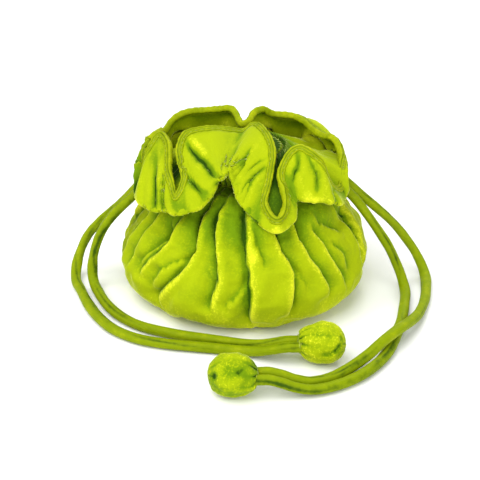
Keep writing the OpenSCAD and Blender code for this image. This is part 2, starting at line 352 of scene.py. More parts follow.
def paleFibre(name, low, high, scale):
    mat, tree, shader = shaderTree(name)
    coords = node(tree, "ShaderNodeTexCoord").outputs["Object"]
    fibre = noiseNode(tree, coords, scale, Detail=5, Roughness=0.7, Distortion=1.2)
    colourRamp(tree, fibre, shader, [(0.3, low), (0.7, high)])
    addBumps(tree, shader, (fibre, 0.6, 0.0005))
    shader.inputs["Roughness"].default_value = 0.9
    return mat


bodyVelvet = velvetMaterial("body_velvet")
collarVelvetPile = velvetMaterial("collar_velvet_pile")
# the facing is painted darker: painted shade for its place inside the collar
facingVelvet = velvetMaterial("facing_velvet", dark=0.06, glintStrength=0.3)
ballVelvet = velvetMaterial("ball_velvet", dark=0.14, glintStrength=0.9)
casingVelvet = velvetMaterial("casing_velvet", dark=0.05)
cordSatin = satinMaterial("cord_satin", -0.03)
bindingSatin = satinMaterial("binding_satin", 0.1)
liningSatin = satinMaterial("lining_satin", -0.05)
threadLime = threadMaterial("thread_lime", (0.198, 0.2475, 0.0055), (0.36, 0.45, 0.01))
waddingFibre = paleFibre("wadding_fibre", (0.6, 0.58, 0.5), (0.86, 0.84, 0.78), 500)
boardFibre = paleFibre("board_fibre", (0.3, 0.26, 0.18), (0.5, 0.44, 0.32), 300)
print("materials made")


# Cords: each pair leaves its buttonhole, falls over the shoulder and runs to its ball
cordSizes = {
    "diameter": 0.0046, "width": 1.04, "height": 0.92, "sides": 20, "ringGap": 0.001,
    "innerX": 0.0109, "outerX": 0.0239, "side": 0.0026, "ballNeck": 0.0116, "reachIn": 0.0032,
    "crease": 0.00034, "shadeBand": 0.34, "pucker": 0.25, "bendBack": 0.011, "bendAside": 0.0066,
    # the seam and two soft creases: place round the tube, width, share of the depth
    "creases": ((1.1, 0.28, 1.0), (2.5, 0.35, 0.75), (4.4, 0.3, 0.6)),
}
ballPlaces = {"left": (0.032, -0.07), "right": (-0.005, -0.0934)}
ballHeight = 0.008
ballSide = {"left": 1, "right": -1}       # the ball lies on this side of its cords' end
cordRoutes = {      # in mm
    "left_outer": [
        (-33, 2.4, 55.2), (-41, 1.8, 51.8), (-46.6, 1, 47.8), (-51, 0.8, 43.2), (-55.4, 1.6, 38.4),
        (-60.4, 3, 33), (-66, 4.2, 27.4), (-71, 5, 21.6), (-75.2, 5.2, 14), (-77.6, 3.6, 7.2),
        (-78, -1.6, 3.2), (-76.8, -8, 2.4), (-74, -15, 2.4), (-69.5, -27, 2.4), (-63.5, -39, 2.4),
        (-55.5, -49.6, 2.4), (-45.5, -56.6, 2.4), (-34, -60.6, 2.4), (-22, -62.8, 2.4), (-9, -65, 2.4),
        (0, -66.8, 2.6), (6, -69, 3.9), (12, -71.4, 6.3)],
    "left_inner": [
        (-33, -3, 55), (-41, -4, 51.7), (-46.4, -4.8, 47.7), (-50.6, -5.2, 43.6), (-55.3, -5.4, 39.2),
        (-60, -5.4, 33.8), (-64.4, -5.4, 27), (-67.6, -5.6, 19), (-69.2, -6.4, 11), (-69.2, -8.4, 5.6),
        (-68, -11.6, 3), (-66.2, -16, 2.4), (-61, -28, 2.4), (-53.5, -38.8, 2.4), (-44, -46.8, 2.4),
        (-34, -51.6, 2.4), (-22, -55.4, 2.4), (-9, -58.6, 2.4), (0, -61.2, 2.6), (6, -63.6, 3.9),
        (12, -66.2, 6.3)],
    "right_outer": [
        (31, 2.4, 60.4), (37, 1.8, 56.2), (42.4, 1.2, 51.8), (47.6, 0.8, 47.2), (53.6, 0.8, 41.8),
        (60, 1.2, 36), (66, 2.6, 30), (71.4, 4.2, 23.6), (76.6, 5.4, 16.2), (80.8, 5.6, 9.6),
        (83.4, 2.6, 4.6), (84, -4, 2.6), (83.2, -11, 2.4), (81.2, -22, 2.5), (76.6, -36.4, 3.4),
        (71, -48, 5.6), (64.8, -57.4, 7.5), (57.8, -65.6, 7.1), (50, -73.8, 4.9), (42, -80.4, 3),
        (34, -86.4, 2.4), (26, -89.8, 2.8), (20, -90.8, 4.6), (14, -91, 7)],
    "right_inner": [
        (30.6, -3, 60), (36, -3.8, 55.8), (41, -5, 51.8), (46, -6.6, 47.6), (50.6, -8, 42.9),
        (55.2, -9, 36.8), (60, -9.6, 29.8), (65, -9.6, 21.8), (69, -9.2, 13.4), (71.8, -9.8, 6.8),
        (73, -13, 3.2), (72.9, -18.4, 2.4), (71.8, -25, 2.4), (68.6, -40, 2.4), (64.6, -53, 2.4),
        (60, -65.6, 2.4), (54, -76, 2.4), (46, -84.8, 2.4), (36.4, -91.4, 2.4), (27, -95, 2.8),
        (20, -96.2, 4.6), (14, -96.4, 7)],
}


def cordRoute(side, strand):
    s = cordSizes
    sign = -1 if side == "left" else 1
    y = s["side"] * (1 if strand == "outer" else -1)
    low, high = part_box(side + "_cord_loop")
    z = (low[2] + high[2]) / 2
    start = [(sign * s["innerX"], y, z), (sign * s["outerX"], y, z)]
    ballX, ballY = ballPlaces[side]
    endY = ballY + s["side"] * (-1 if (side == "left") == (strand == "outer") else 1)
    reach = [s["ballNeck"] + 0.003, s["ballNeck"], s["ballNeck"] - s["reachIn"]]
    end = [(ballX - ballSide[side] * r, endY, ballHeight) for r in reach]
    return np.concatenate([start, np.array(cordRoutes[side + "_" + strand]) * mm, end])


def tubeFrames(path):
    tangents = unit(np.gradient(path, axis=0))
    side = unit(np.cross(tangents, (0, 0, 1)))
    for i in range(len(path)):          # keeps its side where the tube runs straight down
        if i and side[i] @ side[i - 1] < 0:
            side[i] = -side[i]
    for _ in range(4):
        side[1:-1] = (side[:-2] + side[1:-1] * 2 + side[2:]) / 4
    side = unit(side - tangents * np.sum(side * tangents, 1)[:, None])
    return side, np.cross(side, tangents)


def cordMesh(name, path, seed):
    s = cordSizes
    path = evenLine(smoothLine(path, 10), s["ringGap"])
    side, up = tubeFrames(path)
    n, m = len(path), s["sides"]
    verts, paintedShades = [], []
    phase = seed * 1.7
    for i in range(n):
        run = i * s["ringGap"]
        turn = 0.45 * math.sin(run * 31 + phase) + 0.3 * math.sin(run * 77 + phase * 2)
        pinch = 1 + 0.035 * math.sin(run * 140 + phase) + 0.03 * math.sin(run * 330 + 2 * phase)
        for a in circle(m):
            around = a + turn
            # the creases run along the tube and wander round it
            cut = 0
            for k, (where, wide, deep) in enumerate(s["creases"]):
                wander = 0.5 * math.sin(run * (45 + 17 * k) + phase + k)
                away = (around - where - wander + math.pi) % (2 * math.pi) - math.pi
                strength = 0.55 + 0.45 * math.sin(run * (88 + 23 * k) + phase * 3 + k * 2)
                cut += deep * strength * bell(away, wide)
            # painted shade: a dark band that turns slowly along one side of the cord, and shade in its
            # creases
            shadeBand = s["shadeBand"] * max(0, math.cos(around - 4.0 - 1.1 * math.sin(run * 21 + phase))) ** 2
            byTheSeam = bell(around % 6.28 - s["creases"][0][0], 0.8)
            pucker = s["pucker"] * math.sin(run * 900 + 3 * math.sin(a * 2 + phase)) * byTheSeam
            r = s["diameter"] / 2 - s["crease"] * (cut + pucker * 0.5)
            across = side[i] * math.cos(a) * r * s["width"] * pinch
            verts.append(path[i] + across + up[i] * math.sin(a) * r * s["height"] / pinch)
            paintedShades.append(min(1, 0.6 * cut + shadeBand))
    verts = np.array(verts)
    verts[:, 2] = np.maximum(verts[:, 2], 0.00005)
    verts = np.concatenate([verts, path[:1], path[-1:]])
    return addMesh(name, verts, cappedFaces(n, m), {"paintedShade": paintedShades + [0, 0]}), path


def makeCord(side, strand, seed):
    obj, path = cordMesh(f"{side}_{strand}_cord", cordRoute(side, strand), seed)
    useOnly(obj, cordSatin)
    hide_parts(f"{side}_cord_{strand}")
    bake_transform(obj)


print("cord routes ready")

# Padded balls: a round of velvet gathered over wadding and drawn shut round its cords
ballSizes = {
    "radius": 0.0087, "half": 0.0094, "nearHalf": 0.0104, "lift": 0.0006, "ribs": 11, "gather": 0.0006,
    "lump": 0.0006, "rows": 60, "around": 110, "seed": {"left": 3.3, "right": 8.1},
    "paintedHighlight": {"left": 0.6, "right": 0.4},
}
waddingSizes = {"radius": 0.0063, "half": 0.0072, "ends": 0.0071, "lump": 0.07, "rows": 18, "around": 32,
                "seed": {"left": 5, "right": 9}}
tieSizes = {"radius": 0.0034, "wide": 1.25, "high": 0.92, "thread": 0.00045, "turns": 3, "perTurn": 24,
            "length": 0.0022}
# each dimple: direction from the ball's middle, with +X to its far end; how wide; how deep
ballDimples = {
    "left": [((0.8, -0.42, 0.43), 0.15, 0.0005), ((0.7, -0.675, 0.232), 0.15, 0.0006),
             ((0.55, -0.83, 0.076), 0.15, 0.0007), ((0.3, -0.95, -0.02), 0.15, 0.0006),
             ((0.05, -1.0, -0.06), 0.15, 0.0004), ((-0.4, -0.4, 0.8), 0.3, 0.0003)],
    "right": [((0.76, 0.57, 0.31), 0.16, 0.0009), ((-0.45, 0.6, 0.66), 0.12, 0.0004),
              ((-0.3, 0.75, 0.6), 0.12, 0.0004), ((0.1, 0.6, 0.8), 0.4, 0.0003)],
}


def ballMesh(side):
    s = ballSizes
    towards, seed = ballSide[side], s["seed"][side]
    x0, y0 = ballPlaces[side]
    rows, cols = s["rows"], s["around"]
    verts, paintedShades, paintedHighlights = [], [], []
    for i in range(rows):
        v = math.pi * (i + 0.5) / rows      # 0 at the tie, pi at the far end
        near, far = bell(v, 0.62), bell(math.pi - v, 0.5)
        r = s["radius"] * math.sin(v) ** 0.86
        x = -(s["nearHalf"] if v < math.pi / 2 else s["half"]) * math.cos(v)
        for u in circle(cols):
            wave = abs(math.sin(s["ribs"] * u / 2 + 0.7 * math.sin(2 * u + seed) + 0.35 * math.sin(v * 3)))
            cut = (1 - wave) ** 2 * (near * 1.2 + far * 0.5 + 0.12)
            p = Vector((x, r * math.cos(u), r * math.sin(u)))
            out = p.normalized()
            lump = noise.fractal(p * 160 + Vector((seed, 0, 0)), 1.0, 2.0, 2) * s["lump"]
            fine = noise.fractal(p * 520 + Vector((0, seed, 0)), 1.0, 2.0, 2) * s["lump"] * 0.3
            scale = 1 + (lump + fine - s["gather"] * cut) / s["radius"]
            dent = sum(deep * bell((out - Vector(direction).normalized()).length, wide)
                       for direction, wide, deep in ballDimples[side])
            q = Vector((p.x * (1 if near > 0.6 else scale), p.y * scale, p.z * scale)) - out * dent
            z = max(q.z + ballHeight + s["lift"], 0.00005)
            verts.append((x0 + towards * q.x, y0 + towards * q.y, z))
            # painted shade in the gathers, the dimples and by the tie; painted highlight on the bumps,
            # stronger on the left ball
            paintedShades.append(min(1, cut * 0.9 + dent * 900 + 0.2 * near))
            paintedHighlights.append(s["paintedHighlight"][side] + 0.4 * lump / s["lump"])
    middle = ballHeight + s["lift"]
    verts += [(x0 - towards * s["nearHalf"] * 0.99, y0, middle),
              (x0 + towards * s["half"] * 0.98, y0, middle)]
    return addMesh(side + "_ball", verts, cappedFaces(rows, cols, flip=True),
                   {"paintedShade": paintedShades + [1, 0.5], "paintedHighlight": paintedHighlights + [0, 0.3]})


def waddingMesh(side):
    s = waddingSizes
    x0, y0 = ballPlaces[side]
    rows, cols = s["rows"], s["around"]
    verts = []
    for i in range(rows):
        v = math.pi * (i + 0.5) / rows
        r = s["radius"] * math.sin(v)
        for u in circle(cols):
            p = Vector((-s["half"] * math.cos(v), r * math.cos(u), r * math.sin(u)))
            p *= 1 + s["lump"] * noise.fractal(p * 400 + Vector((s["seed"][side], 0, 0)), 1.0, 2.0, 3)
            verts.append((x0 + p.x, y0 + p.y, ballHeight + p.z))
    verts += [(x0 - s["ends"], y0, ballHeight), (x0 + s["ends"], y0, ballHeight)]
    return addMesh(side + "_wadding", verts, cappedFaces(rows, cols, flip=True))


def tieLine(side):
    s = tieSizes
    low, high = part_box(side + "_ball_tie")
    x = (low[0] + high[0]) / 2
    count = s["turns"] * s["perTurn"]
    line = []
    for i in range(count + 1):
        a = 2 * math.pi * i / s["perTurn"]
        r = s["radius"] * (1 + 0.03 * math.sin(3 * a + i * 0.05))
        line.append((x + (i / count - 0.5) * s["length"],
                     ballPlaces[side][1] + r * s["wide"] * math.cos(a),
                     ballHeight + r * s["high"] * math.sin(a)))
    return line


# Geometry Nodes for thread: a swept tube, and stitches at even steps along a line
def newTree(name, inputs):
    tree = bpy.data.node_groups.new(name, "GeometryNodeTree")
    socket = tree.interface.new_socket
    socket("Geometry", in_out="INPUT", socket_type="NodeSocketGeometry")
    for label, value in inputs:
        socket(label, in_out="INPUT", socket_type="NodeSocketFloat").default_value = value
    socket("Geometry", in_out="OUTPUT", socket_type="NodeSocketGeometry")
    return tree, tree.nodes.new("NodeGroupInput").outputs


def endTree(tree, geometry, material):
    for kind, values in (("RealizeInstances", {}), ("SetShadeSmooth", {}),
                         ("SetMaterial", {"Material": material})):
        geometry = node(tree, "GeometryNode" + kind, [("Geometry", geometry)], **values).outputs["Geometry"]
    node(tree, "NodeGroupOutput", [("Geometry", geometry)])
    return tree


def threadTree(name, radius, material):
    tree, given = newTree(name, [("Thread radius", radius)])
    circle = node(tree, "GeometryNodeCurvePrimitiveCircle", [("Radius", given["Thread radius"])],
                  Resolution=8)
    sweep = node(tree, "GeometryNodeCurveToMesh",
                 [("Curve", given["Geometry"]), ("Profile Curve", circle.outputs["Curve"])], Fill_Caps=True)
    return endTree(tree, sweep.outputs["Mesh"], material)


def stitchTree(name, material):
    tree, given = newTree(name, [("Stitch length", 0.002), ("Stitch step", 0.003), ("Thread radius", 0.00025),
                                 ("Slant", 0.0)])
    points = node(tree, "GeometryNodeCurveToPoints",
                  [("Curve", given["Geometry"]), ("Length", given["Stitch step"])], mode="LENGTH")
    body = node(tree, "GeometryNodeMeshUVSphere", Segments=8, Rings=5, Radius=1.0)
    half = calc(tree, "MULTIPLY", given["Stitch length"], 0.5)
    shape = node(tree, "ShaderNodeCombineXYZ",
                 [("X", given["Thread radius"]), ("Y", given["Thread radius"]), ("Z", half)])
    slant = node(tree, "ShaderNodeCombineXYZ", [("X", given["Slant"])])
    turn = node(tree, "FunctionNodeEulerToRotation", [("Euler", slant.outputs[0])])
    tilt = node(tree, "FunctionNodeRotateRotation",
                [("Rotation", points.outputs["Rotation"]), ("Rotate By", turn.outputs["Rotation"])],
                rotation_space="LOCAL")
    place = node(tree, "GeometryNodeInstanceOnPoints",
                 [("Points", points.outputs["Points"]), ("Instance", body.outputs["Mesh"]),
                  ("Rotation", tilt.outputs["Rotation"]), ("Scale", shape.outputs[0])])
    return endTree(tree, place.outputs["Instances"], material)


# runs a Geometry Nodes tree on lines of points and keeps its mesh
def fromLines(name, lines, tree, values, closed=False):
    curve = bpy.data.curves.new(name + "_line", "CURVE")
    curve.dimensions = "3D"
    for line in lines:
        spline = curve.splines.new("POLY")
        spline.points.add(len(line) - 1)
        spline.points.foreach_set("co", np.c_[np.asarray(line), np.ones(len(line))].ravel())
        spline.use_cyclic_u = closed
    made = bpy.data.objects.new(name + "_line", curve)
    bpy.context.scene.collection.objects.link(made)
    modifier = made.modifiers.new("build", "NODES")
    modifier.node_group = tree
    for item in tree.interface.items_tree:
        if item.item_type == "SOCKET" and item.in_out == "INPUT" and item.name in values:
            modifier[item.identifier] = values[item.name]
    dg = bpy.context.evaluated_depsgraph_get()
    mesh = bpy.data.meshes.new_from_object(made.evaluated_get(dg), depsgraph=dg)
    bpy.data.objects.remove(made)
    bpy.data.curves.remove(curve)
    mesh.name = name
    obj = bpy.data.objects.new(name, mesh)
    bpy.context.scene.collection.objects.link(obj)
    return obj


stitches = stitchTree("stitch_row", threadLime)
tieThreads = threadTree("tie_thread", tieSizes["thread"], threadLime)


def makeBalls():
    for side in ("left", "right"):
        body = side + "_ball"
        ball = ballMesh(side)
        setUp(ball, body, side + "_ball_cover", ballVelvet)
        wadding = waddingMesh(side)
        setUp(wadding, body, side + "_ball_filling", waddingFibre)
        tie = fromLines(side + "_ball_binding", [tieLine(side)], tieThreads,
                        {"Thread radius": tieSizes["thread"]})
        setUp(tie, body, side + "_ball_tie")


makeBalls()
for seed, name in enumerate(cordRoutes, 1):
    makeCord(*name.split("_"), seed)
print("cords and balls made")

# Bag: profile of the filled sack and the creases that fall from its gathered neck
bagShape = {
    "baseRadius": 0.038, "belly": 0.0555, "bellyHeight": 0.018, "neck": 0.0169, "neckHeight": 0.053,
    "shoulderPower": 2.5, "baseRows": 9, "columns": 232, "sideRows": 46, "velvet": 0.0009, "puff": 0.0012,
    "wrinkle": 0.0006,
    "slumpHeights": (0, 17, 27, 34, 42, 46, 50, 53), "slump": (0, 0, 2.4, 4.0, 4.4, 2.6, 0.8, 0),
}
liningShape = {"thickness": 0.0004, "inside": 0.0022, "puffShare": 0.6, "width": 1.1}
bagCloth = {"frames": 16, "pressure": 2.2, "shrink": -0.06, "cap": 0.004, "stretch": 15, "shear": 5,
            "bending": 0.4, "mass": 0.2, "quality": 6}
# each crease: height and direction in degrees from the front, towards +X; depth, width, overhang
bagCreases = [
    ([(46, -50), (42, -47), (34, -52), (23, -60)], 3.2, 2.6, 1),
    ([(47, -44), (38, -45), (30, -50), (21, -56.5)], 4.6, 3, 1),
    ([(35, -27), (31, -36), (25, -44), (17, -49)], 2.6, 3.2, 1),
    ([(52, -30), (46, -27), (39, -26), (32, -28), (25, -33), (19, -38), (12, -44)], 6.5, 3.6, 1),
    ([(52, -18), (46, -16), (40, -14), (34, -12.5), (28, -11), (22, -13), (16, -15)], 5.2, 3, 1),
    ([(31, -18), (27, -15), (24, -12)], 1.6, 2.4, 1), ([(27, 2), (22, -2), (17, -8)], 2.2, 3.4, 1),
    ([(52, 2), (46, 1), (38, 2), (28, 3), (18, 3), (9, 3)], 5.2, 2.8, 1),
    ([(47, 6), (42, 7), (36, 9)], 2.6, 2.2, -1),
    ([(52, 16), (46, 17.5), (40, 19), (34, 22), (28, 23), (22, 22), (13, 21)], 5.2, 3, -1),
    ([(30, 25), (26, 28), (22, 30)], 1.6, 2.8, -1),
    ([(52, 30), (44, 32), (34, 35), (26, 38.5), (18, 42)], 5.6, 3.2, -1),
    ([(44, 44), (38, 46), (32, 47), (24, 50), (19, 53)], 4.6, 3.4, -1),
    ([(46, 49), (44, 55), (40, 61)], 3, 3, -1), ([(34, 54), (28, 58), (22, 59)], 2.6, 3.6, -1),
    ([(50, -60), (42, -63), (32, -66), (22, -68)], 4.2, 3.4, 1),
    ([(46, 70), (38, 72), (28, 74), (18, 74)], 3.8, 3.2, -1),
    ([(44, -76), (36, -77), (26, -80), (16, -80)], 3.6, 3.4, 1),
]


def backCreases():
    made = []
    angle = 87.0
    while angle < 272:
        drift = rng.uniform(-5, 5)
        top, low = rng.uniform(47, 52), rng.uniform(9, 20)
        made.append(([(top, angle + rng.uniform(-1, 1)), (40, angle + drift * 0.4), (30, angle + drift),
                      (low, angle + drift * 1.6 + rng.uniform(-3, 3))],
                     rng.uniform(3.4, 5.6), rng.uniform(2.6, 3.6), 1 if rng.random() < 0.5 else -1))
        if rng.random() < 0.45:
            made.append(([(33, angle + drift + 6), (27, angle + drift + 9), (22, angle + drift + 10)],
                         rng.uniform(1.4, 2.6), 2.8, 1))
        angle += rng.uniform(13, 19)
    return made


# radius and height from the middle of the base to the neck
def bagProfile():
    s = bagShape
    base, belly, neck = s["baseRadius"], s["belly"], s["neck"]
    low, top = s["bellyHeight"], s["neckHeight"]
    flat = [(r, 0.0) for r in np.linspace(0.003, base - 0.003, s["baseRows"])]
    side = [(base + (belly - base) * math.sin(a), low * (1 - math.cos(a)))
            for a in np.linspace(0, math.pi / 2, 12)]
    power = 2 / s["shoulderPower"]
    side += [(neck + (belly - neck) * math.cos(a) ** power, low + (top - low) * math.sin(a) ** power)
             for a in np.linspace(0, math.pi / 2, 40)[1:]]
    side += [(neck - 0.0008, top + 0.0006), (neck - 0.0018, top + 0.0009)]
    side = np.c_[np.array(side), np.zeros(len(side))]
    side = evenLine(side, lineLength(side) / s["sideRows"])[:, :2]
    return np.concatenate([flat, side])


# points, painted shade and painted highlight over the bag; heights and depths in mm
def bagGrid(offset, puffShare, creases):
    s = bagShape
    profile = bagProfile()
    along = unit(np.gradient(profile, axis=0))
    outX, outZ = along[:, 1][:, None], -along[:, 0][:, None]
    rows, cols = len(profile), s["columns"]
    theta = circle(cols)
    degrees = (np.degrees(theta) + 180) % 360 - 180
    r0, z0 = profile[:, 0][:, None], profile[:, 1][:, None]
    height = z0 / mm
    onBase = np.arange(rows)[:, None] < s["baseRows"]
    radial, sideways, paintedShade = (np.zeros((rows, cols)) for _ in range(3))
    ridgeHighlight = np.zeros((rows, cols))   # painted highlight along each fold's edge
    for points, depth, width, lean in creases:
        pts = sorted(points)
        hs = np.array([p[0] for p in pts])
        where = np.interp(height[:, 0], hs, [p[1] for p in pts])[:, None]
        ends = rise(height, hs[0] - 5, 7)
        tops = fall(height, hs[-1] + 3.5, 5) if hs[-1] < 50 else 1.0
        ends = ends * ends * (3 - 2 * ends)
        tops = tops * np.clip((53.2 - height) / 2.2, 0.12, 1)
        strength = ends * tops * np.where(onBase, 0, 1)
        away = ((degrees[None, :] - where + 180) % 360 - 180) * math.pi / 180 * r0 / mm
        near = np.clip(r0 / 0.03, 0.35, 1)
        # one side of the pleat dips slowly, the other stands over it with a round edge
        reach = away * lean
        edge = 1 / (1 + np.exp(-reach / (0.32 * near)))
        before = np.exp(np.minimum(reach, 0) / (width * 1.9 * near))
        behind = np.exp(-np.maximum(reach, 0) / (width * 0.55 * near))
        radial -= depth * near * strength * (before * (1 - edge) + 0.75 * behind * edge)
        crown = bell(reach - 2.6 * near, 2.0 * near)
        radial += strength * crown * 0.22 * near * depth
        sideways -= lean * strength * bell(reach - 1.6, 2.0) * min(depth, 6) * 0.34 * near
        # painted shade under each pleat's overhang, fading past its edge, and a painted highlight along that
        # edge
        seen = strength * min(1, depth / 4.4)
        within = np.minimum(reach, 0.3) - 0.3
        under = 0.6 * np.exp(within / 1.7) + 0.4 * np.exp(within / 5)
        paintedShade = np.maximum(paintedShade, seen * np.where(reach < 0.3, under, np.exp(-(reach - 0.3) / 0.45)))
        ridgeHighlight = np.maximum(ridgeHighlight, seen * bell(reach - 1.7, 1.3))
    # cloth bellies out between the creases and slumps below the neck
    radial += s["puff"] / mm * rise(height, 6, 14) * fall(height, 40, 12) * puffShare
    radial -= np.interp(height, s["slumpHeights"], s["slump"])
    # it is pressed in where the cords lie on it
    sideOn = np.abs(np.abs(degrees) - 90)[None, :] * math.pi / 180 * r0 / mm
    pressed = np.exp(-(sideOn / 11) ** 4) * rise(height, 42, 4)
    radial = radial * (1 - pressed) + np.clip(radial, -2.5, -0.5) * pressed
    angle = theta[None, :] + sideways * (1 - pressed) * mm / np.maximum(r0, 0.01)
    r = r0 + outX * radial * mm - outX * offset
    z = z0 + outZ * radial * mm - outZ * offset
    z = np.maximum(np.where(onBase, offset, z), offset)
    # painted highlight on the fold edges and the lower body; painted shade grows towards the neck, under the
    # collar
    paintedHighlight = 0.3 + 0.68 * ridgeHighlight + 0.35 * fall(height, 20, 20)
    paintedShade = np.clip(paintedShade + 0.35 * rise(height, 34, 17) ** 2, 0, 1)
    return np.stack([r * np.sin(angle), -r * np.cos(angle), z], -1), paintedShade, paintedHighlight


def closeBag(name, pts, paintedShade, paintedHighlight):
    rows, cols = pts.shape[:2]
    verts = np.concatenate([pts.reshape(-1, 3), [[0, 0, pts[0, 0, 2]]]])
    return addMesh(name, verts, cappedFaces(rows, cols, ends=1),
                   {"paintedShade": np.append(paintedShade.ravel(), 0), "paintedHighlight": np.append(paintedHighlight.ravel(), 0)})


# a short cloth simulation, kept within a cap, with its result on the mesh
def relaxCloth(obj, pinned):
    s = bagCloth
    before = np.array([v.co for v in obj.data.vertices])
    group = obj.vertex_groups.new(name="held")
    for i, w in enumerate(pinned):
        if w > 0.003:
            group.add([i], float(min(w, 1)), "REPLACE")
    m = obj.modifiers.new("cloth", "CLOTH")
    for key, value in (("quality", s["quality"]), ("mass", s["mass"]), ("tension_stiffness", s["stretch"]),
                       ("compression_stiffness", s["stretch"]), ("shear_stiffness", s["shear"]),
                       ("bending_stiffness", s["bending"]), ("vertex_group_mass", "held"),
                       ("pin_stiffness", 1.0), ("shrink_min", s["shrink"]), ("use_pressure", True),
                       ("uniform_pressure_force", s["pressure"])):
        setattr(m.settings, key, value)
    m.settings.effector_weights.gravity = 0
    m.collision_settings.use_collision = False
    m.point_cache.frame_start = 1
    m.point_cache.frame_end = s["frames"]
    scene = bpy.context.scene
    for f in range(1, s["frames"] + 1):
        scene.frame_set(f)
    dg = bpy.context.evaluated_depsgraph_get()
    step = np.array([v.co for v in obj.evaluated_get(dg).data.vertices]) - before
    obj.modifiers.clear()
    scene.frame_set(1)
    size = np.linalg.norm(step, axis=1, keepdims=True)
    step *= np.minimum(1, s["cap"] / np.maximum(size, 1e-9))
    obj.data.vertices.foreach_set("co", (before + step).ravel())
    obj.vertex_groups.clear()
    obj.data.update()
    print("bag cloth moved up to", round(float(size.max()) / mm, 2), "mm")


# held in its folds, at the neck, on the base and beside the cords
def bagPins(pts, paintedShade):
    rows, cols = pts.shape[:2]
    row = np.repeat(np.arange(rows), cols)
    degrees = np.degrees(np.arctan2(pts[:, :, 0], -pts[:, :, 1])).ravel()
    besideCord = np.exp(-(np.abs(np.abs(degrees) - 90) / 14) ** 4)
    held = [np.clip(paintedShade.ravel() * 1.3 - 0.2, 0, 1), rise(row, rows - 8, 6),
            fall(row, bagShape["baseRows"] + 5, 5), besideCord * rise(pts[:, :, 2].ravel(), 0.03, 0.006)]
    return np.append(np.max(held, axis=0), 1)


def wrinkleBag(obj):
    n = len(obj.data.vertices)
    co, normals = np.empty(n * 3), np.empty(n * 3)
    obj.data.vertices.foreach_get("co", co)
    obj.data.vertices.foreach_get("normal", normals)
    co, normals = co.reshape(-1, 3), normals.reshape(-1, 3)
    angle = np.arctan2(co[:, 0], -co[:, 1])
    stretched = np.c_[angle * 7, co[:, 2] * 26, np.cos(angle) * 2]
    wrinkle = fieldNoise(stretched, 1.0, 2) + 0.6 * fieldNoise(co, 170, 5)
    co = co + normals * (wrinkle * rise(co[:, 2], 0.004, 0.012) * bagShape["wrinkle"])[:, None]
    co[:, 2] = np.maximum(co[:, 2], 0.0)
    obj.data.vertices.foreach_set("co", co.ravel())
    obj.data.update()


def makeBag():
    creases = bagCreases + backCreases()
    pts, paintedShade, paintedHighlight = bagGrid(0.0, 1.0, creases)
    obj = closeBag("gathered_velvet_bag", pts, paintedShade, paintedHighlight)
    relaxCloth(obj, bagPins(pts, paintedShade))
    sub = obj.modifiers.new("finer", "SUBSURF")
    sub.levels = sub.render_levels = 1
    applyModifiers(obj)
    wrinkleBag(obj)
    thicken(obj, bagShape["velvet"])
    setUp(obj, "sack", "outer_shell", bodyVelvet)
    s = liningShape
    creases = [(points, depth, width * s["width"], lean) for points, depth, width, lean in creases]
    pts, paintedShade, paintedHighlight = bagGrid(s["inside"], s["puffShare"], creases)
    # the lining takes a weaker copy of the painted shade
    lining = closeBag("gathered_lining", pts, paintedShade * 0.6, paintedHighlight)
    thicken(lining, s["thickness"])
    setUp(lining, "sack", "shell_lining", liningSatin)


makeBag()
print("bag and lining made")

# Drawstring casing: a gathered strip sewn above and below the cords
casingShape = {
    "puckers": 34, "depth": 0.0006, "columns": 272, "bulge": 0.0007, "inner": 0.0095,
    "lowRow": 0.0008, "topRow": 0.0011, "rowPoints": 240,
    "row": {"Stitch length": 0.0022, "Stitch step": 0.0029, "Thread radius": 0.00028},
    "hole": {"Stitch length": 0.0014, "Stitch step": 0.0005, "Thread radius": 0.00024, "Slant": math.pi / 2},
}


# radius, height and share of the gathers, once round the strip
def casingSection(outer, bottom, top):
    s = casingShape
    inner = s["inner"]
    levels = [sum(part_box(side + "_cord_loop")[e][2] for e in (0, 1)) / 2 for side in ("left", "right")]
    section = []
    for z in np.linspace(bottom, top, 30):
        bulge = sum(bell(z - level, 0.0019) for level in levels) * s["bulge"]
        section.append((outer - 0.0006 + bulge, z, 1))
    section += [(r, top, 0.45) for r in np.linspace(outer - 0.002, inner + 0.001, 6)]
    section += [(inner, z, 0.4) for z in np.linspace(top - 0.0004, bottom + 0.0004, 12)]
    return section + [(r, bottom, 0) for r in np.linspace(inner + 0.001, outer - 0.002, 6)]


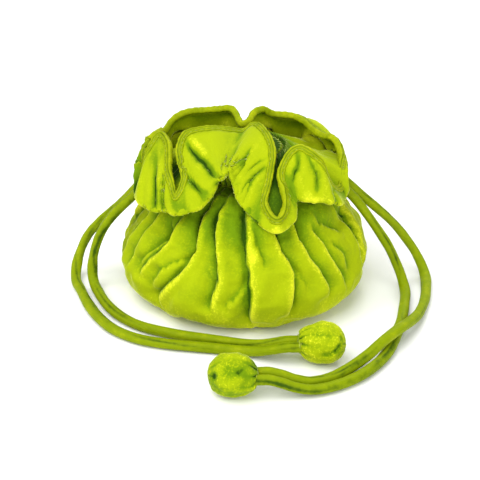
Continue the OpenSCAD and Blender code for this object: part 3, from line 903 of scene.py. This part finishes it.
def makeCasing():
    s = casingShape
    low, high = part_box("drawstring_casing")
    outer, bottom, top = high[0], low[2], high[2]
    section = casingSection(outer, bottom, top)
    verts, paintedShades = [], []
    for a in circle(s["columns"]):
        for r, z, share in section:
            wave = abs(math.sin(s["puckers"] * a / 2 + 0.6 * math.sin(3 * a) + 0.25 * math.sin(z * 900)))
            cut = (1 - wave) ** 1.6
            hem = 1.0 if min(abs(z - bottom), abs(z - top)) < 0.0016 else 0.75
            r -= s["depth"] * (cut * 2.2 - 0.6) * share * hem
            verts.append((r * math.sin(a), -r * math.cos(a), z))
            # painted shade in the puckers and full painted shade on the inner faces; an even painted
            # highlight
            paintedShades.append(0.05 + 0.7 * cut if share == 1 else 1)
    faces = gridFaces(s["columns"], len(section), closeRows=True, closeCols=True, flip=True)
    obj = addMesh("gathered_casing", verts, faces, {"paintedShade": paintedShades, "paintedHighlight": [0.2] * len(verts)})
    setUp(obj, "sack", "drawstring_casing", casingVelvet)
    turn = circle(s["rowPoints"])
    r = outer - 0.0001
    for label, z in (("lower", bottom + s["lowRow"]), ("upper", top - s["topRow"])):
        line = np.stack([r * np.sin(turn), -r * np.cos(turn), np.full(len(turn), z)], 1)
        row = fromLines(label + "_casing_stitches", [line], stitches, s["row"], closed=True)
        setUp(row, "sack", label + "_stitches")
    for side, seed in (("left", 7), ("right", 9)):
        ring, _ = cordMesh(side + "_cord_in_casing", loopRoute(side), seed)
        setUp(ring, "sack", side + "_cord_loop", cordSatin)
        worked = fromLines(side + "_buttonhole_edge", [holeLine(side)], stitches, s["hole"], closed=True)
        setUp(worked, "sack", side + "_buttonhole")


# once round the hole, on the outside of the casing
def holeLine(side):
    low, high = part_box(side + "_buttonhole")
    middle = [(low[k] + high[k]) / 2 for k in range(3)]
    halfY, halfZ = (high[1] - low[1]) / 2, (high[2] - low[2]) / 2
    face = low[0] if side == "left" else high[0]
    line = []
    for a in circle(96):
        y = math.cos(a) * (halfZ - 0.0004) + math.copysign(halfY - halfZ, math.cos(a))
        line.append((face, middle[1] + y, middle[2] + math.sin(a) * (halfZ - 0.0004)))
    return line


def loopRoute(side):
    low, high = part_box(side + "_cord_loop")
    z = (low[2] + high[2]) / 2
    radius = high[1] - cordSizes["diameter"] / 2
    first = math.pi if side == "left" else 0
    gap = math.asin((cordSizes["side"] + 0.0034) / radius)
    turns = first + gap + (2 * math.pi - 2 * gap) * np.arange(41) / 40
    return [(radius * math.cos(a), radius * math.sin(a), z) for a in turns]


makeCasing()
print("casing made")

# Collar: a flounce whose bound edge falls in deep flutes
collarShape = {
    "perPoint": 18, "steps": 30, "neckRadius": 0.0179, "neckHeight": 0.0668, "velvetOut": 0.0008,
    "facingIn": 0.0006, "cloth": 0.0007, "pucker": 0.0005, "puckers": 58, "crease": 0.0013,
    "roll": 0.0018, "rolls": 3.4,
}
# edge point and belly point of each rib, in mm, from the front gap round towards +X
collarRibs = [
    ((0, 5, 71), (-7.5, -21.5, 66.5)), ((4, 6, 73.5), (-5.5, -20.5, 67)), ((8, -2, 74), (-6, -23.5, 66.5)),
    ((11.5, -14, 70.5), (-4.8, -27, 60.5)), ((10, -24, 62), (-2.5, -33, 55)),
    ((8, -34, 54), (4.5, -37, 50)), ((13.5, -44, 50.5), (13, -40, 48)), ((18, -35, 54), (20.5, -36, 50)),
    ((16, -23, 64), (22, -29, 54.5)), ((23, -16, 71.5), (26, -30, 54)), ((31, -20, 68), (32, -29, 53)),
    ((37, -23, 57), (38, -25, 51.5)), ((42, -15, 52.5), (40.5, -16, 51)),
    ((43.5, -6, 59.5), (40.5, -7, 59.5)), ((43, 2, 63), (41, 2, 59)), ((40.5, 9, 66.5), (40, 12, 58)),
    ((37.5, 15, 66), (38, 20, 54)), ((33, 20, 68), (36, 27, 57)), ((28.5, 24, 70.5), (31, 31, 58)),
    ((23, 29, 70.5), (26, 37, 52)), ((14, 28, 71.5), (17, 40, 51)), ((8.5, 25, 74.5), (12, 36, 59)),
    ((4.5, 20, 74.5), (7, 34, 60)), ((2, 15, 72), (2, 36, 55)), ((-1, 14, 71), (-3, 37, 54)),
    ((-6, 21, 74.5), (-9, 35, 59)), ((-12, 25, 72.5), (-14, 40, 53)), ((-19, 27, 71), (-21, 40, 51)),
    ((-25, 25, 71), (-26, 34, 58)), ((-31, 22, 69), (-32, 31, 58)), ((-35, 19, 64), (-37, 26, 52)),
    ((-39, 17, 60), (-39, 17, 53)), ((-37, 11, 68), (-42, 10, 58)), ((-40, 4, 69.5), (-43, 3, 59.5)),
    ((-44, 1, 65), (-43.5, -6, 59)), ((-44.5, -10.5, 54), (-43.5, -15.5, 51)),
    ((-42, -5, 64), (-42, -26, 49.5)), ((-37, 1, 70.5), (-38, -31, 49)),
    ((-33.5, -6, 69.5), (-34, -31, 50)), ((-32.5, -20, 61), (-31, -32, 50)),
    ((-29, -29, 54), (-25, -34, 51)), ((-25, -24, 60), (-19, -34, 52.5)),
    ((-27.5, -12, 68.5), (-15.5, -31, 56)), ((-25, -4, 73), (-14, -27.5, 61.5)),
    ((-14, 0, 74), (-10, -26.5, 63.5)), ((-5, 3, 72), (-9, -25, 65)),
]

# creases pressed into the collar: (rib, share of the way up) along each, then depth and width in mm
collarCreases = [
    ([(2.6, 0.66), (2.45, 0.77), (2.3, 0.86)], 1, 1.3),
    ([(3.6, 0.97), (3.42, 0.88), (3.56, 0.8), (3.8, 0.74), (4, 0.66)], 1.1, 1.3),
    ([(3.2, 0.95), (3.05, 0.85), (3.1, 0.76)], 0.7, 1.2),
    ([(42.75, 0.98), (42.95, 0.9), (43.25, 0.8), (43.4, 0.66), (43.4, 0.5)], 2, 1.9),
    ([(8.95, 0.98), (8.85, 0.93), (8.7, 0.9), (8.4, 0.87)], 1, 1.2),
    ([(9.45, 0.97), (9.7, 0.88), (9.6, 0.72)], 1.1, 1.6),
    ([(10.6, 0.9), (10.8, 0.78), (10.7, 0.62)], 0.8, 1.5),
    ([(41.6, 0.9), (41.9, 0.76), (42.1, 0.6)], 0.9, 1.6),
    ([(37.3, 0.9), (37.5, 0.74), (37.4, 0.58)], 1.3, 1.6),
    ([(38.2, 0.85), (38.5, 0.7), (38.3, 0.55)], 0.9, 1.4),
    ([(33.6, 0.92), (33.9, 0.75), (33.7, 0.55)], 1.2, 1.6),
    ([(30.4, 0.9), (30.6, 0.7), (30.3, 0.5)], 1.2, 1.7),
    ([(27.2, 0.85), (27.5, 0.66), (27.3, 0.5)], 1.3, 1.7),
    ([(24.4, 0.8), (24.2, 0.64), (24.5, 0.5)], 1.2, 1.6),
    ([(21.4, 0.88), (21.2, 0.7), (21.5, 0.52)], 1.2, 1.7),
    ([(18.3, 0.9), (18.6, 0.7), (18.4, 0.52)], 1.2, 1.7),
    ([(15.4, 0.9), (15.6, 0.72), (15.3, 0.55)], 1.1, 1.6),
]


def collarGrid():
    s = collarShape
    ribs = np.array([[*e, *b] for e, b in collarRibs], float) * mm
    lines = smoothLine(ribs, s["perPoint"], closed=True)
    edge, belly = lines[:, :3], lines[:, 3:]
    step = np.linalg.norm(np.roll(edge, -1, axis=0) - edge, axis=1)
    share = np.concatenate([[0], np.cumsum(step)[:-1]]) / step.sum()
    # the gathers at the neck follow the length of the edge, and stay under their flutes
    around = -0.12 + share * 2 * math.pi
    neck = np.stack([s["neckRadius"] * np.sin(around), -s["neckRadius"] * np.cos(around),
                     np.full(len(around), s["neckHeight"])], 1)
    v = np.linspace(0, 1, s["steps"])[:, None, None]
    middle = 2 * belly - (neck + edge) / 2
    pts = (1 - v) ** 2 * neck + 2 * v * (1 - v) * middle + v ** 2 * edge
    return pts, share


def gridNormals(pts):
    along = np.roll(pts, -1, axis=1) - np.roll(pts, 1, axis=1)
    up = np.gradient(pts, axis=0)
    return unit(np.cross(along, up))


def creaseCollar(pts):
    s = collarShape
    rows, cols = pts.shape[:2]
    dip, dark = np.zeros((rows, cols)), np.zeros((rows, cols))
    for points, depth, width in collarCreases:
        route = smoothLine([(rib * s["perPoint"], up * (rows - 1), 0) for rib, up in points], 8)
        route = evenLine(route, 1.0)
        col, row = np.round(route[:, 0]).astype(int), np.round(route[:, 1]).astype(int)
        reach = np.arange(col.min() - 20, col.max() + 21) % cols     # only this stretch of the sheet
        near = pts[:, reach]
        away = np.linalg.norm(near[:, :, None] - pts[row, col % cols], axis=-1) / mm
        nearest = away.argmin(-1)
        away = away.min(-1)
        strength = np.sin(math.pi * np.clip((nearest + 0.7) / (len(route) + 0.4), 0, 1)) ** 0.6
        dip[:, reach] -= depth * strength * (bell(away, width) - 0.35 * bell(away - 1.7 * width, width))
        # painted shade along each crease
        mark = strength * min(1, depth) * bell(away, 1.1 * width)
        dark[:, reach] = np.maximum(dark[:, reach], mark)
    held = fall(np.linspace(0, 1, rows)[:, None], 1, 0.1)    # the bound edge stays in its line
    return dip * mm * held, dark


# small waves of the cloth, and its gathers at the neck
def collarWaves(pts, share, v):
    s = collarShape
    turn = 2 * math.pi * share
    gather = np.sin(s["puckers"] * turn + 1.5 * np.sin(turn * 9))[None, :] * fall(v, 0.3, 0.3) ** 1.3
    ring = np.stack([np.cos(turn), np.sin(turn)], 1) * 3.4 * 2.6
    ribNoise = np.array([[noise.fractal(Vector((x, y, 4 + up * 1.6)), 1.0, 2.0, 3) for x, y in ring]
                         for up in v[:, 0]])
    patch = fieldNoise(pts.reshape(-1, 3), 60, 3, 2).reshape(ribNoise.shape)
    return gather * s["pucker"] + (0.65 * ribNoise + 0.6 * patch) * np.sin(v * math.pi) ** 0.8 * s["crease"]


def makeCollar():
    s = collarShape
    pts, share = collarGrid()
    rows, cols = pts.shape[:2]
    v = np.linspace(0, 1, rows)[:, None]
    normals = gridNormals(pts)
    outwards = np.sign(np.sum(normals[-3] * pts[-3] * (1, 1, 0)))   # judged near the edge, where it stands up
    # at the back the cloth rolls over in folds along the edge
    rear = rise(pts[:, :, 1], 0.006, 0.012)
    rolling = np.sin(2 * math.pi * s["rolls"] * (1 - v) + 1.2 * np.sin(4 * math.pi * share)[None, :])
    rolling = rolling * rear * rise(v, 0.25, 0.25)
    dip, dark = creaseCollar(pts)
    shift = collarWaves(pts, share, v) + rolling * s["roll"] + dip
    pts = pts + normals * outwards * shift[:, :, None]
    normals = gridNormals(pts) * outwards
    # folds are where the sheet curves away from its neighbours
    bend, turned = np.zeros((rows, cols)), np.zeros((rows, cols))
    for reach in (5, 10, 16):
        middle = (np.roll(pts, reach, axis=1) + np.roll(pts, -reach, axis=1)) / 2
        bend += np.sum((pts - middle) * normals, -1) / mm / 3
    row = np.arange(rows)
    for reach in (2, 4):       # the round lower edge of each lobe
        middle = (pts[np.maximum(row - reach, 0)] + pts[np.minimum(row + reach, rows - 1)]) / 2
        turned += np.sum((pts - middle) * normals, -1) / mm
    crown = rise(turned, 0.5, 2.5)
    inFold, onRidge = fall(bend, 0.4, 3.0), rise(bend, 1.0, 3.5)
    neckShade = fall(v, 0.2, 0.2)
    front, rear = fall(pts[:, :, 1], 0.004, 0.012), rise(pts[:, :, 1], 0.006, 0.012)
    # painted shade in the folds, near the neck, under the rolls and along the creases; painted highlight on
    # ridges and the lobes' lower edges, stronger at the front
    outerShade = 0.85 * inFold + 0.5 * neckShade + 0.3 * np.maximum(-rolling, 0) + 0.4 * dark
    outerHighlight = np.clip(0.25 + (0.15 + 0.4 * front) * onRidge + (0.2 + 0.45 * front) * crown, 0, 1)
    # painted shade inside the two narrow flutes at the front
    rib = np.arange(cols)[None, :] / s["perPoint"]
    flute = np.maximum(np.exp(-((rib - 6.1) / 1.5) ** 4), np.exp(-((rib - 35.2) / 1.2) ** 4))
    pocket = rise(bend, 0.4, 2.2) * (1 - 0.7 * rear)
    deep = fall(v, 0.97, 0.3) * 0.6 * flute * front
    # painted shade on the facing: in its pockets and flutes, near the neck and over the rolls
    innerShade = pocket * (0.35 + 0.65 * np.maximum(flute, 1 - front)) + deep + 0.6 * neckShade
    innerShade = innerShade + 0.3 * np.maximum(rolling, 0)
    # painted highlight on the facing, more in the folds and at the back
    innerHighlight = 0.25 + 0.3 * inFold + 0.3 * rear + 0.2 * np.maximum(-rolling, 0)
    for name, slot, replaced, material, out, flip, paintedShade, paintedHighlight in (
            ("collar_outer_velvet", "velvet", "collar_velvet", collarVelvetPile,
             s["velvetOut"], outwards < 0, outerShade, outerHighlight),
            ("collar_facing_velvet", "facing_velvet", "collar_facing", facingVelvet,
             -s["facingIn"], outwards > 0, innerShade, innerHighlight)):
        obj = addMesh(name, pts + normals * out, gridFaces(rows, cols, closeCols=True, flip=flip),
                      {"paintedShade": np.clip(paintedShade, 0, 1), "paintedHighlight": paintedHighlight})
        thicken(obj, s["cloth"])
        setUp(obj, "sack", replaced, material)
    return pts, normals, outwards


collarPoints, collarNormals, collarOut = makeCollar()
print("collar made")

# Binding: a bias strip folded over the collar's edge and stitched down
bindingShape = {
    "width": 0.0034, "thick": 0.0032, "groove": 0.0005, "sides": 32, "grooves": (-0.42, 0.3),
    "grooveWidth": 0.15, "past": 0.12, "corner": 0.7, "behind": 0.06,
    "row": {"Stitch length": 0.0019, "Stitch step": 0.0025, "Thread radius": 0.00018},
}


def rounded(value):
    return math.copysign(abs(value) ** bindingShape["corner"], value)


def makeBinding():
    s = bindingShape
    edge, flat = collarPoints[-1], collarNormals[-1]
    out = unit(edge - collarPoints[-3])
    along = unit(np.roll(edge, -1, axis=0) - np.roll(edge, 1, axis=0))
    flat = unit(flat - along * np.sum(flat * along, 1)[:, None])
    out = unit(out - along * np.sum(out * along, 1)[:, None])
    n, m = len(edge), s["sides"]
    run = np.concatenate([[0], np.cumsum(np.linalg.norm(np.diff(edge, axis=0), axis=1))])
    verts, paintedShades = [], []
    for i in range(n):
        centre = edge[i] + out[i] * (s["width"] * s["past"])
        ripple = 1 + 0.05 * math.sin(run[i] * 1900) + 0.04 * math.sin(run[i] * 700)
        behind = s["behind"] * rise(edge[i][1], 0.006, 0.01)
        for b in circle(m):
            a, c = rounded(math.cos(b)), rounded(math.sin(b))
            cut = sum(bell(a - groove, s["grooveWidth"]) for groove in s["grooves"])
            half = s["thick"] / 2 * ripple - s["groove"] * cut
            verts.append(centre + out[i] * (a * s["width"] / 2 * ripple) + flat[i] * (c * half))
            # painted shade in the grooves, on the inner side and towards the back
            paintedShades.append(0.7 * cut * abs(c) + (0.4 if a < -0.8 else 0) + behind)
    faces = gridFaces(n, m, closeRows=True, closeCols=True, flip=collarOut > 0)
    obj = addMesh("bound_edge", verts, faces, {"paintedShade": paintedShades})
    setUp(obj, "sack", "collar_binding", bindingSatin)
    seam = edge + out * s["width"] * (s["past"] + s["grooves"][0] / 2)
    lines = [seam + flat * sign * (s["thick"] / 2 - s["groove"] * 0.9) for sign in (1, -1)]
    row = fromLines("bound_edge_stitches", lines, stitches, s["row"], closed=True)
    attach(row, "sack")


makeBinding()
print("binding made")

# The stiff board in the base keeps its shape from the frame
useOnly(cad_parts["base_board"], boardFibre)


# Floor and soft studio light: place, power and size of each lamp
lamps = {"key": ((-0.45, -0.35, 1.0), 13, 1.1), "fill": ((0.4, -0.9, 0.35), 5, 0.8),
         "back": ((0.3, 0.8, 0.8), 4, 0.5)}


def makeStage():
    bpy.ops.mesh.primitive_plane_add(size=4, location=(0, 0, 0))
    floor = bpy.context.object
    floor.name = "floor"
    mat, _, shader = shaderTree("pale_floor")
    shader.inputs["Base Color"].default_value = (0.93, 0.93, 0.93, 1)
    shader.inputs["Roughness"].default_value = 0.9
    useOnly(floor, mat)
    world = bpy.data.worlds.new("studio")
    bpy.context.scene.world = world
    world.use_nodes = True
    sky = world.node_tree.nodes["Background"].inputs
    sky["Color"].default_value = (1, 1, 1, 1)
    sky["Strength"].default_value = 0.58
    for name, (place, power, size) in lamps.items():
        light = bpy.data.lights.new(name, "AREA")
        light.energy = power
        light.size = size
        obj = bpy.data.objects.new(name, light)
        bpy.context.scene.collection.objects.link(obj)
        obj.location = place
        obj.rotation_euler = (Vector((0, 0, 0.03)) - Vector(place)).to_track_quat("-Z", "Y").to_euler()
    bpy.context.scene.view_settings.view_transform = "Standard"


makeStage()
print("stage made")
